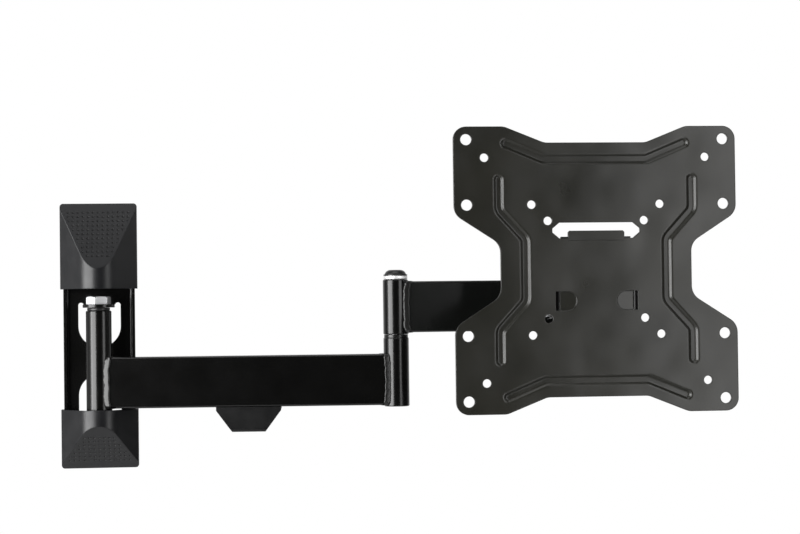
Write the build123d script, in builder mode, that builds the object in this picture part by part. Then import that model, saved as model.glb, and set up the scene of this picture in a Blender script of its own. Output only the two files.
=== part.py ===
from build123d import *
from math import asin, atan2, cos, hypot, radians, sin, tan
import os

os.makedirs("parts", exist_ok=True)

# Swivel wall mount for a television, millimetres.
# +Z is up, +X runs along the wall towards the plate and -Y points into the room.
# The origin is on the wall, behind the middle of the shoulder tube.
# The arms are drawn in line and parallel to the wall, then turned to the pose they are kept in.

# Wall channel
wall_sheet = 2.5
channel_width = 56
channel_depth = 7
channel_top = 123.6
channel_bottom = -80.8
bend_inside = 1.5
wall_hole = 8.5
upper_screw_height = 97
lower_screw_height = -66

# Shoulder ears lanced out of the channel
ear_width = 24.6
ear_relief = 4.3
upper_window_straight = 28.8
lower_window_straight = 25.8
shoulder_stand_off = 16.5

# Round tubes that the arms are welded to
tube_outside = 20
tube_wall = 2
tube_bevel = 0.6
shoulder_length = 82
elbow_lower_rise = 12.6
lower_overhang = 1.2
upper_overhang = 1.5
head_overhang = 2

# Arms
long_arm_reach = 233
short_arm_reach = 150
shoulder_turn = -5
elbow_turn = 10
head_turn = -5
arm_height = 40
arm_depth = 17
arm_wall = 2
arm_corner = 2
long_arm_height = -15.5
weld_size = 2.7
weld_shift = 0.8
weld_short = 1.5

# Fits and plays
running_fit = 0.05
end_play = 0.2
shoulder_play = 0.3
cover_fit = 0.25
bolt_clearance = 0.2

# Bushes and washers
bush_flange_outside = 17.8
shoulder_bush_flange = 2.2
head_bush_flange = 1.5
bush_length = 12
elbow_washer_outside = 19
elbow_washer_thickness = 2.3

# Fasteners
m10 = 10
m10_flats = 17
m10_head = 6.4
m10_nut = 10
bolt_clocking = 15
m8 = 8
m8_flats = 13
m8_head = 5.3
m8_nut = 8
m6 = 6
m6_flats = 10
m6_head = 4
m6_nut = 6
bolt_end = 2
button_outside = 14
button_height = 4.2
elbow_bolt_length = 70

# Elbow cap and ring
ring_outside = 19
ring_height = 3
ring_recess = 1.7
ring_rim = 1.4
cap_outside = 18.8
cap_rim = 0.9
cap_height = 4.4
cap_flat = 9
cap_wall = 1.2
thread_plug_length = 20
thread_plug_drop = 6
end_plug_length = 9

# Covers over the wall screws
cover_wall = 1.8
cover_back = 0.5
cover_rim = 11
cover_depth = 35
cover_ridge = 18.8
cover_lip = 4
cover_corner = 2.5
upper_cover_foot = 58.2
upper_facet_angle = 26.7
cover_below_arm = 1
lower_facet_angle = 38.7

# Cable clip under the long arm
clip_centre = 117
clip_top_width = 50.8
clip_foot_width = 25.8
clip_drop = 19.5
clip_straight = 2.7
clip_wall = 1.8
clip_bend = 3
clip_mouth = 6
clip_inset = 0.3
clip_screw = 4
clip_screw_head = 8
clip_screw_head_height = 2
clip_screw_length = 8

# Swivel bracket on the head tube
bracket_sheet = 3
leaf_radius = 14
bracket_gap = 14
bracket_half = 29.3

# Tilt bracket behind the plate
plate_reach = 69
plate_rise = 26.9
tilt_set_back = 26
tilt_drop = 6
tilt_half = 33.5
tilt_lobe = 13
swivel_lobe = 12
tilt_down = 15
tilt_up = 5
guide_radius = 24
guide_play = 0.4
guide_lobe = 5
flange_top = 25.3
flange_top_half = 27.2
flange_foot = 42
tail_half = 13
friction_washer = 1
friction_washer_outside = 22
tilt_washer_outside = 16
guide_washer_outside = 12
side_washer = 1.6

# Plate for the television
plate_sheet = 2
plate_half = 110
plate_corner = 10
outline_blend = 12
top_recess = 12.5
top_recess_inner = 39.4
top_recess_outer = 70.7
waist_half = 74.4
waist_inner = 20
waist_outer = 43
pitch_large = 200
pitch_middle = 100
pitch_small = 75
pitch_extra = 172.2
hole_large = 8.5
hole_small = 6.5
long_bead_end_drop = 13
long_bead_end_inset = 1.3
long_bead_drop = 12.7
long_bead_bend_shift = 0.6
side_bead_inset = 34.8
side_bead_end_drop = 40.6
side_bead_waist_inset = 19.4
side_bead_inner_rise = 3.7
side_bead_outer_rise = 3
bead_width = 7.6
bead_depth = 1.9
bead_bend = 8
bead_taper = 45
bead_shoulder = 2.2
bead_root = 1.6
window_half = 34
window_low = 24
window_high = 36
window_cut = 5.4
window_cut_rise = 4.5
tongue_half = 22
tongue_height = 5.8
tongue_corner = 1.2
tongue_seam_drop = 1.6
tongue_seam = 0.5
tongue_seam_depth = 0.3
flange_side_low = 14
flange_slit_gap = 0.5
cheek_below_louvre = 3
flange_side_high = 18
louvre_edge = 28.7
louvre_slit = 3.4
louvre_radius = 7.3
louvre_centre = 23
louvre_drop = 24
louvre_depth = 1.9
louvre_step = 0.6
plate_weld = 2

# Places that follow from the sizes above
lower_cover_foot = long_arm_height - arm_height / 2 - cover_below_arm
tube_radius = tube_outside / 2
tube_bore = tube_radius - tube_wall
pivot_y = -(wall_sheet + shoulder_stand_off)
elbow_x = long_arm_reach
head_x = long_arm_reach + short_arm_reach
bend_outside = wall_sheet + bend_inside

shoulder_top = shoulder_length / 2
ear_inner = shoulder_top + shoulder_bush_flange + shoulder_play
ear_outer = ear_inner + wall_sheet

elbow_lower_length = lower_overhang + arm_height + elbow_lower_rise
elbow_upper_length = arm_height + 2 * upper_overhang
head_length = arm_height + 2 * head_overhang
elbow_foot = long_arm_height - arm_height / 2 - lower_overhang
elbow_joint = elbow_foot + elbow_lower_length
elbow_upper_foot = elbow_joint + elbow_washer_thickness + end_play
elbow_top = elbow_upper_foot + elbow_upper_length
ring_foot = elbow_top + end_play
ring_top = ring_foot + ring_height
short_arm_height = elbow_upper_foot + upper_overhang + arm_height / 2

head_foot = short_arm_height - head_length / 2
head_top = short_arm_height + head_length / 2
leaf_inner_top = head_top + head_bush_flange + end_play
leaf_inner_foot = head_foot - head_bush_flange - end_play
leaf_outer_top = leaf_inner_top + bracket_sheet
leaf_outer_foot = leaf_inner_foot - bracket_sheet
web_back = pivot_y - bracket_gap
web_front = web_back - bracket_sheet
bracket_bend = bracket_sheet + bend_inside

plate_z = short_arm_height + plate_rise
plate_front = pivot_y - plate_reach
plate_back = plate_front + plate_sheet
flange_inner = plate_back + bracket_sheet
tilt_y = plate_back + tilt_set_back
tilt_z = plate_z - tilt_drop
guide_y = tilt_y
guide_z = tilt_z - guide_radius
tilt_inner = tilt_half - bracket_sheet


shoulder_axis = Axis((0, pivot_y, 0), (0, 0, 1))
elbow_axis = Axis((elbow_x, pivot_y, 0), (0, 0, 1))
head_axis = Axis((head_x, pivot_y, 0), (0, 0, 1))


def on_long_arm(shape, name):
    """Turn a piece with the long arm about the shoulder and name it."""
    posed = shape.rotate(shoulder_axis, shoulder_turn)
    posed.label = name
    return posed


def on_short_arm(shape, name):
    """Turn a piece with the short arm about the elbow, then with the long arm."""
    return on_long_arm(shape.rotate(elbow_axis, elbow_turn), name)


def on_head(shape, name):
    """Turn a piece with the head about its own tube, then with both arms."""
    return on_short_arm(shape.rotate(head_axis, head_turn), name)


def turned(seat, *outline):
    """A turned piece: the outline of (radius, height) points goes round the seat's normal."""
    side = Plane(origin=seat.origin, x_dir=seat.x_dir, z_dir=seat.y_dir * -1)
    with BuildPart() as piece:
        with BuildSketch(side):
            with BuildLine():
                Polyline(*outline, close=True)
            make_face()
        revolve(axis=Axis(seat.origin, seat.z_dir))
    return piece.part


def tube(x, foot, length):
    """A length of round tube, standing, with its outer rims bevelled."""
    seat = Plane((x, pivot_y, foot))
    return turned(
        seat,
        (tube_bore, 0),
        (tube_radius - tube_bevel, 0),
        (tube_radius, tube_bevel),
        (tube_radius, length - tube_bevel),
        (tube_radius - tube_bevel, length),
        (tube_bore, length),
    )


def flanged_bush(seat, flange, bore):
    """A plastic bush whose flange rests on the tube's end, with the sleeve down the bore."""
    rim = bush_flange_outside / 2
    return turned(
        seat,
        (bore, -bush_length),
        (tube_bore, -bush_length),
        (tube_bore, 0),
        (rim, 0),
        (rim, flange),
        (bore, flange),
    )


def washer(seat, outside, bore, thickness):
    """A flat ring."""
    return turned(seat, (bore, 0), (outside / 2, 0), (outside / 2, thickness), (bore, thickness))


def hexagon(seat, flats, height, bore):
    """A hexagon with its far corners turned down and, if bore isn't 0, a hole through it."""
    corner = flats / 2 / cos(radians(30))
    rounding = corner - flats / 2 * 0.95
    side = Plane(origin=seat.origin, x_dir=seat.x_dir, z_dir=seat.y_dir * -1)
    with BuildPart() as piece:
        with BuildSketch(seat):
            RegularPolygon(flats / 2, 6, major_radius=False)
        extrude(amount=height)
        with BuildSketch(side):
            with BuildLine():
                Polyline(
                    (0, 0),
                    (corner, 0),
                    (corner, height - rounding * tan(radians(30))),
                    (corner - rounding, height),
                    (0, height),
                    close=True,
                )
            make_face()
        revolve(axis=Axis(seat.origin, seat.z_dir), mode=Mode.INTERSECT)
        if bore:
            with BuildSketch(seat):
                Circle(bore)
            extrude(amount=height, mode=Mode.SUBTRACT)
    return piece.part


def hex_bolt(seat, diameter, flats, head, length):
    """A hexagon bolt whose head stands on the seat and whose shank runs back through it."""
    with BuildPart() as bolt:
        add(hexagon(seat, flats, head, 0))
        with BuildSketch(seat):
            Circle(diameter / 2)
        extrude(amount=-length)
        tip = bolt.edges().filter_by(GeomType.CIRCLE).sort_by(Axis(seat.origin, seat.z_dir))[0]
        chamfer(tip, diameter / 8)
    return bolt.part


def lock_nut(seat, diameter, flats, height):
    """A nut with the round collar that holds its plastic ring."""
    hexagon_height = height * 0.7
    collar = flats / 2 * 0.88
    with BuildPart() as nut:
        add(hexagon(seat, flats, hexagon_height, diameter / 2))
        with BuildSketch(seat.offset(hexagon_height)):
            Circle(collar)
            Circle(diameter / 2, mode=Mode.SUBTRACT)
        extrude(amount=height - hexagon_height)
        chamfer(nut.faces().sort_by(Axis(seat.origin, seat.z_dir))[-1].outer_wire().edges(), 0.8)
    return nut.part


def arm(start_x, reach, height, screw_x):
    """A rectangular tube between two upright round tubes, coped to their outsides."""
    with BuildPart() as piece:
        with BuildSketch(Plane.YZ.offset(start_x)):
            with Locations((pivot_y, height)):
                RectangleRounded(arm_depth, arm_height, arm_corner)
                RectangleRounded(
                    arm_depth - 2 * arm_wall,
                    arm_height - 2 * arm_wall,
                    arm_corner / 4,
                    mode=Mode.SUBTRACT,
                )
        extrude(amount=reach)
        with BuildSketch(Plane.XY.offset(height - arm_height)):
            with Locations((start_x, pivot_y), (start_x + reach, pivot_y)):
                Circle(tube_radius)
        extrude(amount=2 * arm_height, mode=Mode.SUBTRACT)
        if screw_x is not None:
            with BuildSketch(Plane.XY.offset(height - arm_height / 2)):
                with Locations((screw_x, pivot_y)):
                    Circle(clip_screw / 2)
            extrude(amount=arm_wall, mode=Mode.SUBTRACT)
    return piece.part


def arm_welds(start_x, reach, height):
    """Upright weld beads, front and back, where an arm meets its two round tubes."""
    contact = (tube_radius**2 - (arm_depth / 2) ** 2) ** 0.5
    bead_length = arm_height - 2 * weld_short
    inner_x = start_x + contact + weld_shift
    outer_x = start_x + reach - contact - weld_shift
    front = pivot_y - arm_depth / 2
    back = pivot_y + arm_depth / 2
    with BuildPart() as beads:
        with BuildSketch(Plane.XY.offset(height - bead_length / 2)):
            with Locations((inner_x, front), (inner_x, back), (outer_x, front), (outer_x, back)):
                Circle(weld_size)
            with Locations((start_x, pivot_y), (start_x + reach, pivot_y)):
                Circle(tube_radius, mode=Mode.SUBTRACT)
            with Locations((start_x + reach / 2, pivot_y)):
                Rectangle(reach, arm_depth, mode=Mode.SUBTRACT)
        extrude(amount=bead_length)
    return beads.part


def cover_block(inset, back, foot, end, facet_angle):
    """A cover's solid outer form, or with an inset the hollow inside it.

    The section is a wedge with a round ridge, and the outer end is cut by a slanting flat.
    """
    up = 1 if end > foot else -1
    half = channel_width / 2 + cover_fit + cover_wall
    ridge_y = -(cover_depth - cover_ridge)
    run = hypot(half, -cover_rim - ridge_y)
    lean = atan2(-cover_rim - ridge_y, half)
    touch = lean - (radians(90) - asin(cover_ridge / run))
    touch_x = cover_ridge * cos(touch)
    touch_y = ridge_y + cover_ridge * sin(touch)
    slant = radians(facet_angle)
    outward = (0, -cos(slant), up * sin(slant))
    lip = end - up * cover_lip
    low = min(foot, end - up * inset)
    height = abs(end - up * inset - foot)
    facet = Plane(
        origin=(0, -cover_rim - inset * outward[1], lip - inset * outward[2]),
        x_dir=(1, 0, 0),
        z_dir=outward,
    )
    with BuildPart() as block:
        with BuildSketch(Plane.XY.offset(low)):
            with BuildLine():
                Polyline((-touch_x, touch_y), (-half, -cover_rim), (-half, back), (half, back),
                         (half, -cover_rim), (touch_x, touch_y))
                ThreePointArc((touch_x, touch_y), (0, -cover_depth), (-touch_x, touch_y))
            make_face()
            if inset:
                offset(amount=-inset, mode=Mode.REPLACE)
        extrude(amount=height)
        split(bisect_by=facet, keep=Keep.BOTTOM)
        if not inset:
            corners = block.edges().filter_by(Axis.Y).group_by(Axis.Z)[-1 if up > 0 else 0]
            fillet(corners, cover_corner)
    return block.part


def cover(foot, end, facet_angle):
    """A moulded shell, open at the back and at the end that faces the arm."""
    with BuildPart() as shell:
        add(cover_block(0, -cover_back, foot, end, facet_angle))
        add(
            cover_block(cover_wall, cover_wall + 1, foot, end, facet_angle),
            mode=Mode.SUBTRACT,
        )
    return shell.part


# Wall channel: a folded U with two windows, whose ears are bent out to hold the shoulder bolt
window_half_width = ear_width / 2 + ear_relief
ear_bend = ear_inner + bend_outside
with BuildPart() as wall_channel:
    half = channel_width / 2
    with BuildSketch(Plane.XY.offset(channel_bottom)) as channel_section:
        with BuildLine():
            Polyline(
                (-half, 0),
                (half, 0),
                (half, -channel_depth),
                (half - wall_sheet, -channel_depth),
                (half - wall_sheet, -wall_sheet),
                (wall_sheet - half, -wall_sheet),
                (wall_sheet - half, -channel_depth),
                (-half, -channel_depth),
                close=True,
            )
        make_face()
        fillet(channel_section.vertices().group_by(Axis.Y)[-1], bend_outside)
        fillet(channel_section.vertices().filter_by_position(Axis.Y, -wall_sheet - 0.1, -wall_sheet + 0.1),
               bend_inside)
    extrude(amount=channel_top - channel_bottom)
    with BuildSketch(Plane.XZ):
        with Locations((0, upper_screw_height), (0, lower_screw_height)):
            Circle(wall_hole / 2)
        for side, straight in ((1, upper_window_straight), (-1, lower_window_straight)):
            slot_end = side * (ear_bend - ear_relief / 2)
            straight_end = side * straight
            with Locations((0, straight_end)):
                Circle(window_half_width)
            with Locations((0, (slot_end + straight_end) / 2)):
                Rectangle(2 * window_half_width, abs(slot_end - straight_end))
            with Locations((0, (side * ear_bend + straight_end) / 2)):
                Rectangle(ear_width, ear_bend - straight)
            slot_x = window_half_width - ear_relief / 2
            with Locations((slot_x, slot_end), (-slot_x, slot_end)):
                Circle(ear_relief / 2)
    extrude(amount=wall_sheet, mode=Mode.SUBTRACT)
    ear_tip = pivot_y - ear_width / 2
    for side in (1, -1):
        with BuildSketch(Plane.YZ) as ear_section:
            with BuildLine():
                Polyline(
                    (0, side * (ear_bend + 1)),
                    (-wall_sheet, side * (ear_bend + 1)),
                    (-wall_sheet, side * ear_outer),
                    (ear_tip, side * ear_outer),
                    (ear_tip, side * ear_inner),
                    (0, side * ear_inner),
                    close=True,
                )
            make_face()
            heel = ear_section.vertices().sort_by(lambda v: abs(v.X) * 9 + abs(v.Y))[0]
            notch = ear_section.vertices().sort_by(lambda v: abs(v.X + wall_sheet) * 9 + abs(v.Y))[0]
            fillet(heel, bend_outside)
            fillet(notch, bend_inside)
        extrude(amount=ear_width / 2, both=True)
    with BuildSketch(Plane.XY.offset(-ear_outer)):
        with Locations((0, pivot_y - ear_width / 4)):
            Rectangle(ear_width, ear_width / 2)
        with Locations((0, pivot_y)):
            Circle(ear_width / 2, mode=Mode.SUBTRACT)
            Circle(m10 / 2 + bolt_clearance)
    extrude(amount=2 * ear_outer, mode=Mode.SUBTRACT)
wall_channel.part.label = "wall_channel"
export_step(wall_channel.part, "parts/wall_channel.step")

# Covers that hide the wall screws
cover_over = cover_fit + cover_wall
upper_cover = cover(upper_cover_foot, channel_top + cover_over, upper_facet_angle)
upper_cover.label = "upper_cover"
export_step(upper_cover, "parts/upper_cover.step")

lower_cover = cover(lower_cover_foot, channel_bottom - cover_over, lower_facet_angle)
lower_cover.label = "lower_cover"
export_step(lower_cover, "parts/lower_cover.step")


# Shoulder: a tube on two flanged bushes, held between the ears by one bolt
clocked = (cos(radians(bolt_clocking)), sin(radians(bolt_clocking)), 0)
shoulder_bolt = hex_bolt(
    Plane(origin=(0, pivot_y, ear_outer), x_dir=clocked, z_dir=(0, 0, 1)), m10, m10_flats, m10_head,
    2 * ear_outer + m10_nut + bolt_end
)
shoulder_bolt.label = "shoulder_bolt"
export_step(shoulder_bolt, "parts/shoulder_bolt.step")

shoulder_nut = lock_nut(
    Plane(origin=(0, pivot_y, -ear_outer), z_dir=(0, 0, -1)), m10, m10_flats, m10_nut
)
shoulder_nut.label = "shoulder_nut"
export_step(shoulder_nut, "parts/shoulder_nut.step")

bush_bore = m10 / 2 + running_fit
with BuildPart() as shoulder_bushes:
    for side in (1, -1):
        seat = Plane(origin=(0, pivot_y, side * shoulder_top), z_dir=(0, 0, side))
        add(flanged_bush(seat, shoulder_bush_flange, bush_bore))
posed_bushes = on_long_arm(shoulder_bushes.part, "shoulder_bushes")
export_step(posed_bushes, "parts/shoulder_bushes.step")

shoulder_tube = on_long_arm(tube(0, -shoulder_top, shoulder_length), "shoulder_tube")
export_step(shoulder_tube, "parts/shoulder_tube.step")

# Long arm with its welds
long_arm = on_long_arm(arm(0, long_arm_reach, long_arm_height, clip_centre), "long_arm")
export_step(long_arm, "parts/long_arm.step")

long_arm_welds = on_long_arm(arm_welds(0, long_arm_reach, long_arm_height), "long_arm_welds")
export_step(long_arm_welds, "parts/long_arm_welds.step")

# Cable clip: a bent strip screwed under the long arm, open at the back
clip_top = long_arm_height - arm_height / 2
clip_foot = clip_top - clip_drop
clip_front = pivot_y - arm_depth / 2 + clip_inset
clip_back = pivot_y + arm_depth / 2 - clip_inset
with BuildPart() as cable_clip:
    with BuildSketch(Plane.YZ.offset(clip_centre - clip_top_width / 2)) as clip_section:
        with BuildLine():
            Polyline(
                (clip_back, clip_top),
                (clip_front, clip_top),
                (clip_front, clip_foot),
                (clip_back, clip_foot),
                (clip_back, clip_top - clip_wall - clip_mouth),
                (clip_back - clip_wall, clip_top - clip_wall - clip_mouth),
                (clip_back - clip_wall, clip_foot + clip_wall),
                (clip_front + clip_wall, clip_foot + clip_wall),
                (clip_front + clip_wall, clip_top - clip_wall),
                (clip_back, clip_top - clip_wall),
                close=True,
            )
        make_face()
        fillet(clip_section.vertices().sort_by(lambda v: abs(v.X - clip_front) + abs(v.Y - clip_foot))[0],
               clip_bend)
        fillet(clip_section.vertices().sort_by(lambda v: abs(v.X - clip_back) + abs(v.Y - clip_foot))[0],
               clip_bend)
    extrude(amount=clip_top_width)
    with BuildSketch(Plane.XZ.offset(-clip_back)):
        with BuildLine():
            Polyline(
                (clip_centre - clip_top_width / 2, clip_top),
                (clip_centre + clip_top_width / 2, clip_top),
                (clip_centre + clip_top_width / 2, clip_top - clip_straight),
                (clip_centre + clip_foot_width / 2, clip_foot),
                (clip_centre - clip_foot_width / 2, clip_foot),
                (clip_centre - clip_top_width / 2, clip_top - clip_straight),
                close=True,
            )
        make_face()
    extrude(amount=clip_back - clip_front, mode=Mode.INTERSECT)
    with BuildSketch(Plane.XY.offset(clip_top)):
        with Locations((clip_centre, pivot_y)):
            Circle(clip_screw / 2)
    extrude(amount=-clip_wall, mode=Mode.SUBTRACT)
posed_clip = on_long_arm(cable_clip.part, "cable_clip")
export_step(posed_clip, "parts/cable_clip.step")

with BuildPart() as clip_fixing:
    with BuildSketch(Plane.XY.offset(clip_top - clip_wall)):
        with Locations((clip_centre, pivot_y)):
            Circle(clip_screw_head / 2)
    extrude(amount=-clip_screw_head_height)
    chamfer(clip_fixing.faces().sort_by(Axis.Z)[0].edges(), clip_screw_head_height / 3)
    with BuildSketch(Plane.XY.offset(clip_top - clip_wall)):
        with Locations((clip_centre, pivot_y)):
            Circle(clip_screw / 2)
    extrude(amount=clip_screw_length)
posed_screw = on_long_arm(clip_fixing.part, "clip_screw")
export_step(posed_screw, "parts/clip_screw.step")

# Elbow: the lower tube holds the bolt, the upper tube turns on it
lower_tube = on_long_arm(tube(elbow_x, elbow_foot, elbow_lower_length), "elbow_lower_tube")
export_step(lower_tube, "parts/elbow_lower_tube.step")

end_plug = on_long_arm(
    turned(
        Plane((elbow_x, pivot_y, elbow_foot)),
        (0, 0),
        (tube_bore, 0),
        (tube_bore, end_plug_length),
        (0, end_plug_length),
    ),
    "elbow_end_plug",
)
export_step(end_plug, "parts/elbow_end_plug.step")

plug_foot = elbow_joint - thread_plug_drop - thread_plug_length
thread_plug = on_long_arm(
    washer(Plane((elbow_x, pivot_y, plug_foot)), 2 * tube_bore, m10 / 2, thread_plug_length),
    "elbow_thread_plug",
)
export_step(thread_plug, "parts/elbow_thread_plug.step")

elbow_washer = on_long_arm(
    washer(
        Plane((elbow_x, pivot_y, elbow_joint)),
        elbow_washer_outside,
        m10 / 2 + bolt_clearance,
        elbow_washer_thickness,
    ),
    "elbow_washer",
)
export_step(elbow_washer, "parts/elbow_washer.step")

bolt_seat = ring_top - ring_recess
button_rim = button_outside / 2
elbow_bolt = on_long_arm(
    turned(
        Plane((elbow_x, pivot_y, bolt_seat)),
        (0, -elbow_bolt_length),
        (m10 / 2 - m10 / 8, -elbow_bolt_length),
        (m10 / 2, m10 / 8 - elbow_bolt_length),
        (m10 / 2, 0),
        (button_rim, 0),
        (button_rim, button_height * 0.3),
        (button_rim * 0.86, button_height * 0.62),
        (button_rim * 0.5, button_height),
        (0, button_height),
    ),
    "elbow_bolt",
)
export_step(elbow_bolt, "parts/elbow_bolt.step")

ring_radius = ring_outside / 2
elbow_ring = on_long_arm(
    turned(
        Plane((elbow_x, pivot_y, ring_foot)),
        (m10 / 2 + bolt_clearance, 0),
        (ring_radius - 0.5, 0),
        (ring_radius, 0.5),
        (ring_radius, ring_height - 0.5),
        (ring_radius - 0.5, ring_height),
        (ring_radius - ring_rim, ring_height),
        (ring_radius - ring_rim, ring_height - ring_recess),
        (m10 / 2 + bolt_clearance, ring_height - ring_recess),
    ),
    "elbow_ring",
)
export_step(elbow_ring, "parts/elbow_ring.step")

cap_radius = cap_outside / 2
with BuildPart() as cap:
    with BuildSketch(Plane(origin=(elbow_x, pivot_y, ring_top), x_dir=(1, 0, 0), z_dir=(0, -1, 0))):
        with BuildLine():
            shoulder = Line((cap_radius, 0), (cap_radius, cap_rim))
            step = Line(shoulder @ 1, (cap_radius - cap_rim, cap_rim))
            flank = ThreePointArc(
                step @ 1,
                (cap_radius - cap_rim * 2.4, cap_height * 0.7),
                (cap_flat / 2, cap_height),
            )
            Polyline(
                flank @ 1,
                (0, cap_height),
                (0, cap_height - cap_wall),
                (cap_flat / 2 - cap_wall / 2, cap_height - cap_wall),
                (cap_radius - cap_rim - cap_wall * 1.4, cap_rim),
                (cap_radius - cap_rim - cap_wall, 0),
                shoulder @ 0,
            )
        make_face()
    revolve(axis=elbow_axis)
elbow_cap = on_long_arm(cap.part, "elbow_cap")
export_step(elbow_cap, "parts/elbow_cap.step")

upper_tube = on_short_arm(tube(elbow_x, elbow_upper_foot, elbow_upper_length), "elbow_upper_tube")
export_step(upper_tube, "parts/elbow_upper_tube.step")

with BuildPart() as elbow_sleeves:
    for foot in (elbow_upper_foot, elbow_top - bush_length):
        add(washer(Plane((elbow_x, pivot_y, foot)), 2 * tube_bore, bush_bore, bush_length))
elbow_bushes = on_short_arm(elbow_sleeves.part, "elbow_bushes")
export_step(elbow_bushes, "parts/elbow_bushes.step")

# Short arm with its welds
short_arm = on_short_arm(arm(elbow_x, short_arm_reach, short_arm_height, None), "short_arm")
export_step(short_arm, "parts/short_arm.step")

short_arm_welds = on_short_arm(
    arm_welds(elbow_x, short_arm_reach, short_arm_height), "short_arm_welds"
)
export_step(short_arm_welds, "parts/short_arm_welds.step")

# Head: a tube at the short arm's end, with the swivel bracket bolted through it
head_tube = on_short_arm(tube(head_x, head_foot, head_length), "head_tube")
export_step(head_tube, "parts/head_tube.step")

with BuildPart() as head_sleeves:
    for side in (1, -1):
        foot = short_arm_height + side * head_length / 2
        seat = Plane(origin=(head_x, pivot_y, foot), z_dir=(0, 0, side))
        add(flanged_bush(seat, head_bush_flange, bush_bore))
head_bushes = on_short_arm(head_sleeves.part, "head_bushes")
export_step(head_bushes, "parts/head_bushes.step")

head_span = leaf_outer_top - leaf_outer_foot
head_bolt = on_head(
    hex_bolt(
        Plane(origin=(head_x, pivot_y, leaf_outer_foot), z_dir=(0, 0, -1)),
        m10,
        m10_flats,
        m10_head,
        head_span + m10_nut + bolt_end,
    ),
    "head_bolt",
)
export_step(head_bolt, "parts/head_bolt.step")

head_nut = on_head(
    lock_nut(Plane((head_x, pivot_y, leaf_outer_top)), m10, m10_flats, m10_nut), "head_nut"
)
export_step(head_nut, "parts/head_nut.step")

# Swivel bracket: leaves bent back over the head tube, cheeks bent forward
web_foot = leaf_outer_foot + bracket_bend
web_top = leaf_outer_top - bracket_bend
cheek_tip = tilt_y - swivel_lobe
lobe_guide = m6 / 2 + guide_lobe
with BuildPart() as swivel_bracket:
    with BuildSketch(Plane.XY.offset(web_foot)) as cheek_section:
        with BuildLine():
            Polyline(
                (head_x - bracket_half, web_back),
                (head_x + bracket_half, web_back),
                (head_x + bracket_half, cheek_tip),
                (head_x + bracket_half - bracket_sheet, cheek_tip),
                (head_x + bracket_half - bracket_sheet, web_front),
                (head_x - bracket_half + bracket_sheet, web_front),
                (head_x - bracket_half + bracket_sheet, cheek_tip),
                (head_x - bracket_half, cheek_tip),
                close=True,
            )
        make_face()
        fillet(cheek_section.vertices().filter_by_position(Axis.Y, web_back - 0.1, web_back + 0.1),
               bracket_bend)
        fillet(cheek_section.vertices().filter_by_position(Axis.Y, web_front - 0.1, web_front + 0.1),
               bend_inside)
    extrude(amount=tilt_z + swivel_lobe - web_foot)
    with BuildSketch(Plane.YZ.offset(head_x)):
        with Locations((web_front + bracket_sheet / 2, (web_foot + web_top) / 2)):
            Rectangle(bracket_sheet, web_top - web_foot)
        with Locations((tilt_y, tilt_z)):
            Circle(swivel_lobe)
        with Locations((guide_y, guide_z)):
            Circle(lobe_guide)
        make_hull()
    extrude(amount=bracket_half, both=True, mode=Mode.INTERSECT)
    with BuildSketch(Plane.YZ.offset(head_x)):
        with Locations((tilt_y, tilt_z)):
            Circle(m8 / 2 + bolt_clearance)
        with Locations((guide_y, guide_z)):
            Circle(m6 / 2 + bolt_clearance)
    extrude(amount=bracket_half, both=True, mode=Mode.SUBTRACT)
    with BuildPart(mode=Mode.PRIVATE) as leaves:
        with BuildSketch(Plane.YZ.offset(head_x)) as leaf_section:
            with BuildLine():
                Polyline(
                    (pivot_y + leaf_radius, leaf_outer_top),
                    (web_front, leaf_outer_top),
                    (web_front, leaf_outer_foot),
                    (pivot_y + leaf_radius, leaf_outer_foot),
                    (pivot_y + leaf_radius, leaf_inner_foot),
                    (web_back, leaf_inner_foot),
                    (web_back, leaf_inner_top),
                    (pivot_y + leaf_radius, leaf_inner_top),
                    close=True,
                )
            make_face()
            fillet(
                leaf_section.vertices().filter_by_position(Axis.X, web_front - 0.1, web_front + 0.1),
                bracket_bend,
            )
            fillet(
                leaf_section.vertices().filter_by_position(Axis.X, web_back - 0.1, web_back + 0.1),
                bend_inside,
            )
        extrude(amount=leaf_radius, both=True)
        with BuildSketch(Plane.XY.offset(leaf_outer_foot)):
            with Locations((head_x, (pivot_y + web_front) / 2)):
                Rectangle(2 * leaf_radius, pivot_y - web_front)
            with Locations((head_x, pivot_y)):
                Circle(leaf_radius)
                Circle(m10 / 2 + bolt_clearance, mode=Mode.SUBTRACT)
        extrude(amount=head_span, mode=Mode.INTERSECT)
    add(leaves.part)
posed_swivel = on_head(swivel_bracket.part, "swivel_bracket")
export_step(posed_swivel, "parts/swivel_bracket.step")

# Tilt bolt with its washers, and the guide bolts that run in the arc slots
seat_x = tilt_half + end_play / 2 + side_washer
right = Plane(origin=(head_x + seat_x, tilt_y, tilt_z), x_dir=(0, 1, 0), z_dir=(1, 0, 0))
left = Plane(origin=(head_x - seat_x, tilt_y, tilt_z), x_dir=(0, 1, 0), z_dir=(-1, 0, 0))
tilt_bolt = on_head(
    hex_bolt(right, m8, m8_flats, m8_head, 2 * seat_x + m8_nut + bolt_end), "tilt_bolt"
)
export_step(tilt_bolt, "parts/tilt_bolt.step")

tilt_nut = on_head(lock_nut(left, m8, m8_flats, m8_nut), "tilt_nut")
export_step(tilt_nut, "parts/tilt_nut.step")

with BuildPart() as tilt_rings:
    for seat in (right, left):
        add(washer(seat.offset(-side_washer), tilt_washer_outside, m8 / 2 + bolt_clearance, side_washer))
        inner_seat = seat.offset(bracket_half + end_play / 2 - seat_x)
        add(washer(inner_seat, friction_washer_outside, m8 / 2 + bolt_clearance, friction_washer))
tilt_washers = on_head(tilt_rings.part, "tilt_washers")
export_step(tilt_washers, "parts/tilt_washers.step")

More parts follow.
